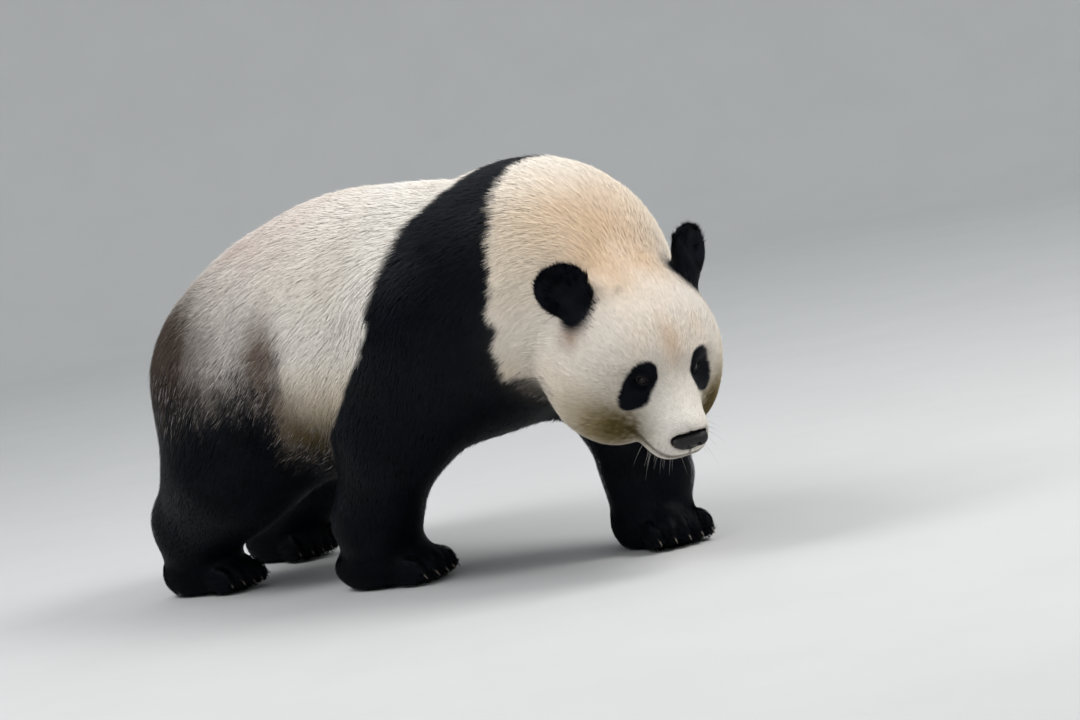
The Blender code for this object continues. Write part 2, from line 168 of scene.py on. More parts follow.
def both_sides(q):
    return np.stack([q[:, 0], np.abs(q[:, 1]), q[:, 2]], 1)


def both_ears(q):
    """The same for the ears, which are not held quite alike."""
    return both_sides(q) - EAR_SHIFT[(q[:, 1] < 0).astype(int)]


def head(m):
    d = ellipsoid(m, (-0.032, 0, 0.028), (0.128, 0.112, 0.105))   # cranium
    d = join(d, ellipsoid(m, (0.028, 0.020, 0.046), (0.082, 0.070, 0.064)), 0.05)   # forehead
    d = join(d, ellipsoid(m, (-0.010, 0.076, -0.038), (0.104, 0.084, 0.102)), 0.06)   # cheeks
    d = join(d, ellipsoid(m, (0.028, 0.056, -0.082), (0.084, 0.064, 0.056)), 0.05)   # jaw
    d = join(d, limb(m, (0.050, 0, -0.045), (0.156, 0, -0.056), 0.074, 0.044, 1.12), 0.03)   # muzzle
    d = join(d, limb(m, (0.070, 0, 0.010), (0.172, 0, -0.030), 0.040, 0.024, 1.25), 0.03)   # its bridge
    d = join(d, ellipsoid(m, (0.140, 0.025, -0.073), (0.044, 0.029, 0.032)), 0.02)   # upper lip
    d = join(d, ellipsoid(m, (0.118, 0, -0.104), (0.044, 0.036, 0.024)), 0.02)   # chin
    hollow = EYE_AT + np.array([0.030, 0.021, -0.004])
    return carve(d, ellipsoid(m, hollow, (0.030, 0.022, 0.020)), 0.02)


def ears(m):
    d = ellipsoid(m, EAR_AT, EAR_RADII, EAR_TURN)
    d = join(d, limb(m, EAR_AT, EAR_ROOT, 0.020, 0.034), 0.02)
    cup = EAR_AT + EAR_TURN @ np.array([0.030, 0, 0])
    return carve(d, ellipsoid(m, cup, (0.022, 0.040, 0.037), EAR_TURN), 0.01)


def trunk(p):
    d = ellipsoid(p, (0.10, 0, 0.462), (0.40, 0.258, 0.256))   # barrel
    d = join(d, ellipsoid(p, (-0.02, 0, 0.415), (0.34, 0.245, 0.190)), 0.10)   # belly
    d = join(d, ellipsoid(p, (-0.190, 0, 0.404), (0.202, 0.208, 0.206)), 0.12)   # rump
    d = join(d, ellipsoid(p, (0.365, 0, 0.479), (0.23, 0.212, 0.203)), 0.12)   # shoulders
    d = join(d, ellipsoid(p, (0.575, 0, 0.545), (0.180, 0.160, 0.154)), 0.12)   # withers
    return join(d, ellipsoid(p, (0.45, 0, 0.430), (0.20, 0.180, 0.150)), 0.10)   # chest


def neck(p):
    d = limb(p, (0.55, 0, 0.530), from_head((-0.04, 0, 0.0)), 0.170, 0.125)
    return join(d, ellipsoid(p, (0.665, 0.0, 0.500), (0.135, 0.140, 0.140)), 0.08)   # nape


def tail(p):
    return limb(p, TAIL_ROOT, TAIL_TIP, 0.056, 0.036, 1.15)


def toe_places(size):
    """The middle of each toe in the paw's frame, from the animal's right to its left."""
    for i in range(TOES):
        u = 2 * i / (TOES - 1) - 1
        yield np.array([size["long"] * 0.5 - 0.034 - 0.012 * u * u, u * size["wide"] * 0.36, 0.028])


def paw(p, at, turn, size):
    q = (p - np.array([*at, 0.0])) @ rot("z", turn)
    d = ellipsoid(q, (-0.012, 0, 0.040), (size["long"] * 0.48, size["wide"] * 0.48, 0.052))
    for toe in toe_places(size):
        d = join(d, ellipsoid(q, toe, (0.036, size["wide"] * 0.115, 0.030)), 0.018)
    return d


def foreleg(p, leg):
    d = limb(p, leg["shoulder"], leg["elbow"], 0.142, 0.100)
    d = join(d, limb(p, leg["elbow"], leg["wrist"], 0.100, 0.076), 0.06)
    x, y = leg["paw"]
    d = join(d, limb(p, leg["wrist"], (x - 0.02, y, 0.045), 0.074, 0.056), 0.04)
    return join(d, paw(p, leg["paw"], leg["turn"], FOREPAW), 0.035)


def hindleg(p, leg):
    d = limb(p, leg["hip"], leg["knee"], 0.150, 0.115)
    d = join(d, ellipsoid(p, leg["thigh"], (0.124, 0.105, 0.170)), 0.08)
    d = join(d, limb(p, leg["knee"], leg["hock"], 0.108, 0.088), 0.07)
    x, y = leg["paw"]
    d = join(d, limb(p, leg["hock"], (x - 0.04, y, 0.045), 0.078, 0.052), 0.04)
    return join(d, paw(p, leg["paw"], leg["turn"], HINDPAW), 0.035)


LEGS = {f"{which}_{side}": (shape, leg, FOREPAW if which == "fore" else HINDPAW)
        for which, shape, legs in (("fore", foreleg, FORELEGS), ("hind", hindleg, HINDLEGS))
        for side, leg in legs.items()}


def leg_reach(leg, reach=0.30):
    """A box round everything that the leg can blend with."""
    ends = np.array([(*value, 0.04)[:3] for key, value in leg.items() if key != "turn"])
    return ends.min(0) - reach, ends.max(0) + reach


def parts(p):
    """The distance to each part of the body, out to the tips of its coat."""
    q = in_head(p)
    m = both_sides(q)
    found = {
        "trunk": trunk(p),
        "neck": neck(p),
        "head": near(m, (-0.32, -1, -0.32), (0.36, 0.36, 0.32), head),
        "ears": near(both_ears(q), (-0.25, -1, -0.12), (0.12, 0.30, 0.30), ears),
        "tail": near(p, (-0.62, -0.22, 0.18), (-0.15, 0.22, 0.65), tail),
    }
    for name, (shape, leg, _) in LEGS.items():
        found[name] = near(p, *leg_reach(leg), lambda s: shape(s, leg))
    found["face"] = step(m[:, 0], -0.01, 0.07)
    return found


def outline(found):
    """Distance to the tips of the coat of the whole animal."""
    d = join(found["trunk"], found["neck"], 0.10)
    d = join(d, found["head"], 0.035)
    d = join(d, found["tail"], 0.03)
    for name in LEGS:
        d = join(d, found[name], 0.07 if name.startswith("fore") else 0.08)
    return join(d, found["ears"], 0.012)


def shares(found, soft=0.018):
    """How much each point belongs to each part, from 0 to 1. The neck has no share in the face."""
    names = [name for name in found if name != "face"]
    d = np.stack([found[name] + 0.15 * found["face"] * (name in ("neck", "trunk")) for name in names])
    w = np.exp(-(d - d.min(0)) / soft)
    w /= w.sum(0)
    return dict(zip(names, w))


def pair(share, which):
    """The share of both forelegs or both hind legs."""
    return share[which + "_right"] + share[which + "_left"]


def coat_depth(p, share):
    """How far the skin lies under the tips of the coat."""
    m = both_sides(in_head(p))
    on_head = 0.0095 + 0.0055 * spot(m, (0.0, 0.13, -0.05), (0.07, 0.06, 0.08))
    on_head = on_head - 0.0045 * step(m[:, 0], 0.045, 0.125)
    on_head = on_head * (1 - 0.45 * spot(m, EYE_AT, (0.03, 0.03, 0.03)))
    on_head = on_head * (1 - 0.5 * step(m[:, 0], 0.150, 0.190))
    on_leg = 0.007 + 0.011 * step(p[:, 2], 0.06, 0.38)
    depth = 0.018 * (share["trunk"] + share["neck"] + share["tail"]) + on_head * share["head"]
    depth += 0.009 * share["ears"]
    for name in LEGS:
        depth += on_leg * share[name]
    return depth


# ---- the face ----

EYE_OUT = unit([0.74, 0.63, 0.33])          # where the left eye looks, in the head's frame
EYE_ACROSS = unit(np.cross([0.30, -0.05, 1.0], EYE_OUT))
EYE_UP = np.cross(EYE_OUT, EYE_ACROSS)
EYE_TURN = np.stack([EYE_OUT, EYE_ACROSS, EYE_UP], 1)
EYE_SET = EYE_AT - EYE_OUT * 0.0045          # the eyeball sits this much deeper than its plain solid
BALL_RADIUS = 0.0118
LID = 0.0022
MOUTH = np.array([(0.196, 0.0, -0.079), (0.193, 0.015, -0.080), (0.188, 0.031, -0.081),
                  (0.178, 0.046, -0.078), (0.161, 0.054, -0.074), (0.145, 0.060, -0.073),
                  (0.131, 0.066, -0.069), (0.117, 0.075, -0.062)])
PHILTRUM = np.array([(0.203, 0.0, -0.058), (0.199, 0.0, -0.069), (0.196, 0.0, -0.079)])


def along(p, line, ra, rb):
    """Distance to a tube through the points of a line."""
    radii = np.linspace(ra, rb, len(line))
    d = limb(p, line[0], line[1], radii[0], radii[1])
    for i in range(1, len(line) - 1):
        d = np.minimum(d, limb(p, line[i], line[i + 1], radii[i], radii[i + 1]))
    return d


def eye_opening(m):
    """Distance to the almond between the lids."""
    return ellipsoid(m, EYE_SET + EYE_OUT * 0.0135, (0.0085, 0.0082, 0.0057), EYE_TURN)


def nose_seat(m, spare=0.0):
    """Distance to the solid of the nose, in which the nose pad sits."""
    return ellipsoid(m, NOSE_AT, np.array(NOSE_RADII) + spare, rot("y", NOSE_PITCH))


def mouth_lines(m):
    """Distance to the line of the mouth or the groove over it."""
    return np.minimum(along(m, MOUTH, 0, 0), along(m, PHILTRUM, 0, 0))


def with_face(m, d):
    """The head's skin with lids round the eyes and a mouth."""
    lids = np.linalg.norm(m - EYE_SET, axis=1) - (BALL_RADIUS + LID)
    d = join(d, lids, 0.008)
    fold = ellipsoid(m, EYE_SET + EYE_OUT * 0.009 + EYE_UP * 0.0115, (0.004, 0.013, 0.0016), EYE_TURN)
    d = carve(d, fold, 0.002)
    d = carve(d, eye_opening(m), 0.0012)
    d = carve(d, nose_seat(m, 0.0010), 0.0025)
    d = carve(d, along(m, MOUTH, 0.0030, 0.0022), 0.004)
    return carve(d, along(m, PHILTRUM, 0.0016, 0.0022), 0.003)


def bare_distance(p):
    """The skin without its lids, mouth and soles."""
    found = parts(p)
    return outline(found) + coat_depth(p, shares(found))


def skin_distance(p):
    d = bare_distance(p)
    m = both_sides(in_head(p))
    at_face = ((m > (0.04, -1, -0.15)) & (m < (0.26, 0.12, 0.08))).all(1) & (d < 0.04)
    if at_face.any():
        d[at_face] = with_face(m[at_face], d[at_face])
    return carve(d, p[:, 2] - FLOOR_GAP, 0.003)


# ---- from distances to a mesh ----

def sample(shape, low, high, cell, block=4):
    """Distances on a grid, worked out in full only in the blocks that the surface passes."""
    n = (np.ceil((high - low) / cell / block).astype(int)) * block
    coarse = [low[i] + (np.arange(n[i] // block) + 0.5) * block * cell for i in range(3)]
    centres = np.stack(np.meshgrid(*coarse, indexing="ij"), -1).reshape(-1, 3)
    far = shape(centres)
    values = np.repeat(np.repeat(np.repeat(far.reshape(n // block), block, 0), block, 1), block, 2)
    close = np.nonzero(np.abs(far) < block * cell * 1.6)[0]
    corner = np.stack(np.unravel_index(close, n // block), 1) * block
    offset = np.stack(np.meshgrid(*[np.arange(block)] * 3, indexing="ij"), -1).reshape(-1, 3)
    index = (corner[:, None, :] + offset[None]).reshape(-1, 3)
    values[index[:, 0], index[:, 1], index[:, 2]] = shape(low + index * cell)
    return values


def surface_nets(v, low, cell):
    """One point in each cell that the surface crosses, and a quad round each grid edge that it crosses."""
    inside = v < 0
    cells = np.array(v.shape) - 1
    total, count = np.zeros((*cells, 3)), np.zeros(cells)
    crossings = []
    for axis in range(3):
        others = [i for i in range(3) if i != axis]
        at = np.argwhere(np.diff(inside, axis=axis))
        at = at[((at[:, others] > 0) & (at[:, others] < cells[others])).all(1)]
        a, b = v[tuple(at.T)], v[tuple((at + np.eye(3, dtype=int)[axis]).T)]
        point = at.astype(float)
        point[:, axis] += a / (a - b)
        round_edge = []
        for back in ((0, 0), (0, 1), (1, 0), (1, 1)):
            beside = at.copy()
            beside[:, others] -= back
            round_edge.append(tuple(beside.T))
            np.add.at(total, round_edge[-1], point)
            np.add.at(count, round_edge[-1], 1)
        crossings.append((round_edge, (a < 0) == (axis == 1)))
    used = count > 0
    number = np.full(count.shape, -1)
    number[used] = np.arange(used.sum())
    points = low + total[used] / count[used][:, None] * cell
    quads = []
    for round_edge, flip in crossings:
        ring = np.stack([number[round_edge[k]] for k in (0, 2, 3, 1)], 1)
        ring[flip] = ring[flip][:, ::-1]
        quads.append(ring)
    return points, np.concatenate(quads)


def slope_of(shape, points, e=0.0008):
    return np.stack([shape(points + move) - shape(points - move) for move in np.eye(3) * e], 1) / (2 * e)


def settle(shape, points, rounds=2, e=0.0008, most=0.01):
    """Moves each point along the slope onto the surface."""
    for _ in range(rounds):
        d = shape(points)
        slope = slope_of(shape, points, e)
        size = np.maximum(dot(slope, slope), 0.2)
        points = points - np.clip(d / size, -most, most)[:, None] * slope
    return points


def on_skin(line):
    """The line's points, in the head's frame, moved onto the skin."""
    return in_head(settle(bare_distance, from_head(line), rounds=4))


MOUTH, PHILTRUM = on_skin(MOUTH), on_skin(PHILTRUM)


# ---- noise ----

def hashed(cell, seed):
    """A number from 0 to 1 for each whole-number cell."""
    x, y, z = (cell[:, i].astype(np.uint64) for i in range(3))
    h = x * np.uint64(73856093) ^ y * np.uint64(19349663) ^ z * np.uint64(83492791)
    h = h ^ np.uint64(seed * 2654435761)
    h = (h ^ (h >> np.uint64(13))) * np.uint64(1274126177)
    h = (h ^ (h >> np.uint64(16))) & np.uint64(0xFFFFFF)
    return h.astype(float) / 0xFFFFFF


def noise(p, size, seed):
    """Smooth noise from -1 to 1 whose lumps are about size across; size may differ for x, y and z."""
    q = p / np.asarray(size, float) + 1000.0
    base = np.floor(q)
    t = q - base
    t = t * t * (3 - 2 * t)
    total = np.zeros(len(p))
    for corner in range(8):
        bits = np.array([corner & 1, corner >> 1 & 1, corner >> 2 & 1])
        weight = np.prod(np.where(bits, t, 1 - t), axis=1)
        total += weight * hashed((base + bits).astype(np.int64), seed)
    return 2 * total - 1


# ---- markings, with some painted shade: the colours of skin and coat at a point ----

WHITE = np.array([0.80, 0.765, 0.715])
BLACK = np.array([0.0028, 0.0039, 0.0068])
TAN = np.array([0.62, 0.43, 0.26])
CREAM = np.array([0.74, 0.62, 0.46])
PINK = np.array([0.60, 0.46, 0.40])
OLIVE = np.array([0.078, 0.055, 0.014])
BROWN = np.array([0.055, 0.036, 0.026])
RUST = np.array([0.30, 0.15, 0.085])
OCHRE = np.array([0.27, 0.205, 0.092])
GREY = np.array([0.27, 0.235, 0.23])

# The shoulder band's edges seen from the side: x of its rear and front edge at each height.
BAND_REAR = ((0.20, 0.28, 0.345, 0.383, 0.438, 0.483, 0.546, 0.634, 0.666, 0.696, 0.717, 0.80),
             (0.12, 0.192, 0.263, 0.291, 0.350, 0.383, 0.402, 0.406, 0.426, 0.474, 0.500, 0.52))
BAND_FRONT = ((0.35, 0.371, 0.418, 0.483, 0.54, 0.592, 0.658, 0.72, 0.80),
              (0.575, 0.589, 0.610, 0.628, 0.633, 0.632, 0.615, 0.593, 0.575))

# The front edge of the black of the near thigh: x at each height.
THIGH_FRONT = ((0.24, 0.285, 0.301, 0.335, 0.374, 0.411, 0.437, 0.50),
               (-0.02, 0.006, 0.034, 0.070, 0.091, 0.105, 0.104, 0.080))


def mix(a, b, amount):
    return a + (b - a) * amount[:, None]


def blackness(p, share):
    """1 where the coat is black and 0 where it is white, with ragged edges."""
    ragged = 0.010 * noise(p, 0.030, 3) + 0.005 * noise(p, 0.010, 4)
    z = p[:, 2]
    rear = np.interp(z, *BAND_REAR)
    front = np.interp(z, *BAND_FRONT)
    behind_front = step(front - p[:, 0] + ragged, -0.008, 0.008)
    under_neck = step(0.362 - z - 0.25 * np.clip(p[:, 0] - 0.62, 0, 1) + ragged, -0.010, 0.010)
    band = step(p[:, 0] - rear + ragged, -0.009, 0.009) * np.maximum(behind_front, under_neck)
    band *= 1 - share["head"]
    arms = np.clip(pair(share, "fore") * step(z, 0.34, 0.28), 0, 1)
    q = in_head(p)
    m = both_sides(q)
    patch_turn = np.stack([unit([0, 0.36, -0.93]), [1, 0, 0], unit([0, 0.93, 0.36])], 1)
    patch = ellipsoid(m, (0.108, 0.0615, 0.019), (0.050, 0.060, 0.0215), patch_turn)
    patch = join(patch, ellipsoid(m, (0.108, 0.054, 0.040), (0.060, 0.0215, 0.026)), 0.010) + 0.20 * ragged
    patch = step(patch, 0.0025, -0.0015) * step(share["head"], 0.2, 0.4)
    ear_base = spot(both_ears(q), EAR_BASE, (0.022, 0.022, 0.018))
    ear = np.maximum(step(share["ears"], 0.30, 0.50), step(ear_base, 0.50, 0.65))
    return np.clip(np.maximum.reduce([band, arms, patch, ear]), 0, 1)


def hind_black(p):
    """How far inside the black of the hind legs each point lies: under 0 outside it."""
    x, z = p[:, 0], p[:, 2]
    thigh = np.minimum(0.425 - z, 2.5 * (np.interp(z, *THIGH_FRONT) - x))
    return np.maximum(thigh, np.minimum(0.272 - z, 1.5 * (0.125 - x)))


def marking(p, share):
    """The coat's colour, with painted shade low on the body, under the cheeks and along the mouth, its
    blackness and its barer, wetter skin.
    """
    q = in_head(p)
    m = both_sides(q)
    x, y, z = p.T
    side = np.abs(y)
    lumps = noise(p, 0.045, 7)
    fine = noise(p, 0.016, 8)
    c = np.tile(WHITE, (len(p), 1))
    c = mix(c, CREAM, 0.30 * np.clip(0.5 + 0.5 * noise(p, 0.12, 5), 0, 1))
    body = 1 - share["head"] - share["ears"]
    flat = both_sides(p)
    c = mix(c, CREAM, body * 0.45 * spot(flat, (0.66, 0.10, 0.62), (0.15, 0.13, 0.13)))
    tan = spot(p, (0.710, -0.045, 0.600), (0.115, 0.110, 0.066))
    c = mix(c, TAN, body * 0.95 * tan * (0.92 + 0.2 * lumps))
    c = mix(c, CREAM, body * 0.55 * spot(flat, (0.70, 0.15, 0.52), (0.12, 0.10, 0.12)))
    c = mix(c, PINK, body * 0.70 * spot(flat, (-0.07, 0.12, 0.66), (0.20, 0.18, 0.11)) * (0.8 + 0.4 * lumps))
    # Lower body: a creamier tone, and an olive stain on the low flanks, partly real staining and partly
    # painted shade under the belly.
    c = mix(c, CREAM, body * 0.70 * step(z, 0.46, 0.34))
    low_flank_shade_and_stain = step(z + 0.012 * lumps, 0.430, 0.285) * step(x, -0.10, 0.0) * step(x, 0.42, 0.32)
    c = mix(c, OLIVE, body * 0.97 * low_flank_shade_and_stain**1.2)
    # head
    h = share["head"] + share["ears"]
    c = mix(c, TAN, 0.95 * spot(q, (-0.080, -0.010, 0.140), (0.085, 0.10, 0.065)) * (0.88 + 0.3 * lumps))
    c = mix(c, TAN, h * 0.60 * spot(q, (0.088, 0.0, 0.088), (0.042, 0.020, 0.045)))
    c = mix(c, TAN, h * 0.28 * spot(m, (0.065, 0.050, 0.082), (0.045, 0.035, 0.045)) * (0.8 + 0.4 * lumps))
    c = mix(c, CREAM, h * 0.60 * spot(m, (0.03, 0.13, -0.05), (0.09, 0.06, 0.07)))
    c = mix(c, BROWN, 0.60 * spot(q, (-0.016, -0.048, 0.132), (0.007, 0.010, 0.008)))
    # Lower cheeks and muzzle sides: an ochre tint and an olive stain, partly real staining and partly painted
    # shade under the cheek.
    streaks = 0.5 + 0.5 * noise(m, (0.014, 0.005, 0.005), 10)
    cheek = 1.1 * spot(m, (0.084, 0.102, -0.070), (0.070, 0.058, 0.056)) * (0.8 + 0.4 * streaks)
    c = mix(c, OCHRE, h * np.clip(cheek, 0, 0.92))
    stain_and_shade = 1.25 * spot(m, (0.108, 0.084, -0.064), (0.045, 0.040, 0.036)) * (0.55 + 0.70 * streaks)
    c = mix(c, OLIVE, h * np.clip(stain_and_shade, 0, 0.93))
    # Painted shadow along the mouth line and the groove over it, in the crease between the lips.
    lips = np.maximum(0.7 * step(along(m, MOUTH, 0, 0), 0.0100, 0.0035),
                      0.6 * step(along(m, PHILTRUM, 0, 0), 0.0040, 0.0015))
    c = mix(c, OLIVE * 0.6, h * lips)
    c = mix(c, RUST, h * 0.85 * spot(m, (-0.018, 0.126, 0.058), (0.030, 0.026, 0.026)) * (0.8 + 0.5 * fine))
    # rump and hind legs
    low = hind_black(p)
    grizzle = 0.5 + 0.5 * noise(p, (0.010, 0.010, 0.030), 9)
    rear = step(x, 0.10, -0.02) * body
    c = mix(c, GREY, rear * 0.80 * step(low, -0.24, -0.03) * (0.7 + 0.5 * lumps))
    strip = spot(flat, (-0.240, 0.255, 0.465), (0.115, 0.15, 0.135))
    c = mix(c, BROWN, body * np.clip(1.45 * strip * (0.85 + 0.30 * grizzle), 0, 0.97))
    patch = spot(flat, (0.072, 0.27, 0.455), (0.046, 0.10, 0.072))
    patch = patch + 0.6 * spot(flat, (0.05, 0.27, 0.36), (0.06, 0.1, 0.07))
    c = mix(c, BROWN * 2.3, body * np.clip(patch * (0.75 + 0.6 * grizzle), 0, 0.92))
    frost = step(low + 0.07 * (grizzle - 0.5) + 0.02 * lumps, -0.055, 0.092 - 0.05 * step(z, 0.31, 0.28))
    frost = frost * np.maximum(step(side, 0.02, 0.08), step(z, 0.34, 0.28)) * (1 - share["tail"])
    frost = np.maximum(frost, np.clip(pair(share, "hind"), 0, 1) * step(z, 0.26, 0.20))
    c = mix(c, BLACK, frost)
    black = blackness(p, share)
    c = mix(c, BLACK, black)
    # bare skin: rims of the lids, lips
    bare = np.maximum.reduce([step(eye_opening(m), 0.0042, 0.0022),
                              step(along(m, MOUTH, 0.003, 0.002), 0.0030, 0.0010),
                              step(along(m, PHILTRUM, 0.002, 0.002), 0.0022, 0.0008),
                              step(nose_seat(m), 0.0035, 0.0020)]) * (m[:, 0] > 0.05) * h
    return c, np.maximum(black, frost), bare


# ---- the lie of the coat ----

def lie(p, n, share):
    """Which way the coat lies at each point, along the skin."""
    q = in_head(p)
    sideways = np.abs(n[:, 1])
    down = np.array([0.0, 0.0, -1.0])
    along_trunk = np.array([-1.0, 0.0, -0.10]) + down * (0.75 * sideways[:, None])
    to_withers = unit(np.array([0.50, 0.0, 0.54]) - HEAD_AT)
    along_neck = to_withers + down * (0.9 * sideways[:, None])
    own_side = np.where(q[:, 1:2] < 0, -1.0, 1.0) * (0, 1, 0) + (1, 0, 1)
    from_nose = unit(q - (NOSE_AT + np.array([0.010, 0, 0.010]))) @ HEAD_TURN.T + down * 0.18
    from_eye = unit(q - EYE_SET * own_side) @ HEAD_TURN.T
    from_nose = from_nose + from_eye * (1.8 * spot(q * own_side, EYE_AT, (0.022, 0.022, 0.022)))[:, None]
    from_root = unit(q - EAR_ROOT * own_side) @ HEAD_TURN.T
    g = along_trunk * share["trunk"][:, None] + along_neck * share["neck"][:, None]
    g += from_nose * share["head"][:, None] + from_root * share["ears"][:, None]
    g += unit(np.array(TAIL_TIP) - TAIL_ROOT) * share["tail"][:, None]
    upper = step(p[:, 2], 0.24, 0.34)[:, None]
    foot = step(p[:, 2], 0.100, 0.055)[:, None]
    for name, (_, leg, _) in LEGS.items():
        top, bend, end = (np.array(leg[key]) for key in LIMB[name[:4]])
        ahead = rot("z", leg["turn"]) @ np.array([1.0, 0, -0.35])
        down_leg = unit(bend - top) * upper + unit(end - bend) * (1 - upper) + down * 0.6
        down_leg = down_leg + np.array([-0.30, 0, 0])
        g += (down_leg * (1 - foot) + ahead * foot) * share[name][:, None]
    g = g - n * dot(g, n)[:, None]
    return unit(g)


# ---- Blender meshes ----

def link(name, data):
    """A new object in the scene."""
    made = bpy.data.objects.new(name, data)
    bpy.context.scene.collection.objects.link(made)
    return made


def quick_mesh(name, points, faces):
    """A mesh from arrays of points and of triangles or quads."""
    mesh = bpy.data.meshes.new(name)
    sides = faces.shape[1]
    mesh.vertices.add(len(points))
    mesh.vertices.foreach_set("co", np.asarray(points, np.float32).ravel())
    mesh.loops.add(faces.size)
    mesh.loops.foreach_set("vertex_index", faces.astype(np.int32).ravel())
    mesh.polygons.add(len(faces))
    mesh.polygons.foreach_set("loop_start", (np.arange(len(faces)) * sides).astype(np.int32))
    mesh.update(calc_edges=True)
    return mesh


def tube(rings, sides, first=0, inward=False):
    """The triangles between rings of points, with sides points to a ring, numbered from first."""
    faces = []
    for i in range(rings - 1):
        for j in range(sides):
            a, b = first + i * sides + j, first + i * sides + (j + 1) % sides
            quad = [(a, b, b + sides), (a, b + sides, a + sides)]
            faces += [triangle[::-1] for triangle in quad] if inward else quad
    return faces


def read(mesh, what):
    """The "co" or "normal" of each vertex."""
    values = np.zeros(len(mesh.vertices) * 3, np.float32)
    mesh.vertices.foreach_get(what, values)
    return values.reshape(-1, 3).astype(float)


def move(mesh, points):
    mesh.vertices.foreach_set("co", points.astype(np.float32).ravel())
    mesh.update()


def finished(name, mesh, material):
    """The mesh as a smooth object of this name and material."""
    mesh.shade_smooth()
    mesh.materials.append(material)
    return link(name, mesh)


def set_normals(mesh, normals):
    made = mesh.attributes.new("custom_normal", "FLOAT_VECTOR", "POINT")
    made.data.foreach_set("vector", np.asarray(normals, np.float32).ravel())


def set_colour(mesh, name, colour):
    rgba = np.ones((len(colour), 4), np.float32)
    rgba[:, :3] = np.clip(colour, 0, 1)
    mesh.attributes.new(name, "FLOAT_COLOR", "POINT").data.foreach_set("color", rgba.ravel())


def set_number(mesh, name, values):
    values = np.asarray(values, np.float32)
    mesh.attributes.new(name, "FLOAT", "POINT").data.foreach_set("value", values)


def unwrapped(mesh):
    """UV of each corner of the mesh, unwrapped by the lie of its own faces."""
    work = link("unwrap", mesh)
    bpy.context.view_layer.objects.active = work
    work.select_set(True)
    bpy.ops.object.mode_set(mode="EDIT")
    bpy.ops.mesh.select_all(action="SELECT")
    bpy.ops.uv.smart_project(angle_limit=math.radians(66), island_margin=0.004)
    bpy.ops.object.mode_set(mode="OBJECT")
    uv = np.zeros(len(mesh.loops) * 2, np.float32)
    mesh.uv_layers.active.data.foreach_get("uv", uv)
    bpy.data.objects.remove(work)
    return uv.reshape(-1, 2).astype(float)


# ---- materials ----

class Nodes:
    """A material's nodes, made and wired in short calls."""

    def __init__(self, name, roughness=0.7, **constants):
        self.material = bpy.data.materials.new(name)
        self.material.use_nodes = True
        self.tree = self.material.node_tree
        self.shader = self.tree.nodes["Principled BSDF"]
        self.shader.inputs["Roughness"].default_value = roughness
        for key, value in constants.items():
            self.shader.inputs[key.replace("_", " ")].default_value = value

    def add(self, kind, **settings):
        node = self.tree.nodes.new(kind)
        for key, value in settings.items():
            setattr(node, key, value)
        return node

    def wire(self, source, target):
        self.tree.links.new(source, target)

    def attribute(self, name):
        return self.add("ShaderNodeAttribute", attribute_name=name)

    def place(self):
        return self.add("ShaderNodeTexCoord").outputs["Object"]

    def noise(self, scale, detail=2.0, stretch=(1, 1, 1)):
        turn = self.add("ShaderNodeMapping")
        turn.inputs["Scale"].default_value = stretch
        self.wire(self.place(), turn.inputs["Vector"])
        made = self.add("ShaderNodeTexNoise")
        made.inputs["Scale"].default_value = scale
        made.inputs["Detail"].default_value = detail
        self.wire(turn.outputs["Vector"], made.inputs["Vector"])
        return made.outputs["Fac"]

    def ramp(self, value, low, high, start=0.25, end=0.75):
        """The value's stretch from start to end, taken to low to high."""
        made = self.add("ShaderNodeMapRange")
        for key, number in (("From Min", start), ("From Max", end), ("To Min", low), ("To Max", high)):
            made.inputs[key].default_value = number
        self.wire(value, made.inputs["Value"])
        return made.outputs["Result"]

    def shaded(self, colour, amount):
        """A colour made lighter or darker by a number near 1."""
        made = self.add("ShaderNodeVectorMath", operation="SCALE")
        self.wire(colour, made.inputs[0])
        self.wire(amount, made.inputs["Scale"])
        return made.outputs["Vector"]

    def mixed(self, a, b, factor):
        made = self.add("ShaderNodeMix", data_type="RGBA")
        sockets = [s for s in made.inputs if s.type == "RGBA"]
        for value, socket in zip((a, b), sockets):
            if isinstance(value, tuple):
                socket.default_value = (*value, 1.0)
            else:
                self.wire(value, socket)
        self.wire(factor, [s for s in made.inputs if s.name == "Factor" and s.type == "VALUE"][0])
        return [s for s in made.outputs if s.type == "RGBA"][0]

    def bump(self, value, distance, strength=1.0):
        made = self.add("ShaderNodeBump")
        made.inputs["Distance"].default_value = distance
        made.inputs["Strength"].default_value = strength
        self.wire(value, made.inputs["Height"])
        self.wire(made.outputs["Normal"], self.shader.inputs["Normal"])

    def colour(self, socket):
        self.wire(socket, self.shader.inputs["Base Color"])

    def roughness(self, socket):
        self.wire(socket, self.shader.inputs["Roughness"])


def coat_material():
    m = Nodes("coat_hair", Specular_IOR_Level=0.08)
    tone = m.ramp(m.noise(90, 3.0), 0.95, 1.04)
    m.colour(m.shaded(m.attribute("coat").outputs["Color"], tone))
    m.roughness(m.ramp(m.attribute("black").outputs["Fac"], 0.80, 0.48, 0, 1))
    m.bump(m.noise(900, 2.0), 0.0003, 0.4)
    return m.material


def skin_material():
    m = Nodes("skin_under_coat", Specular_IOR_Level=0.12)
    tone = m.ramp(m.noise(220, 4.0), 0.82, 1.10)
    coat = m.shaded(m.attribute("coat").outputs["Color"], tone)
    bare = m.attribute("bare").outputs["Fac"]
    m.colour(m.mixed(coat, (0.006, 0.005, 0.005), bare))
    m.roughness(m.ramp(bare, 0.85, 0.38, 0, 1))
    m.bump(m.noise(700, 3.0), 0.0006, 0.5)
    return m.material


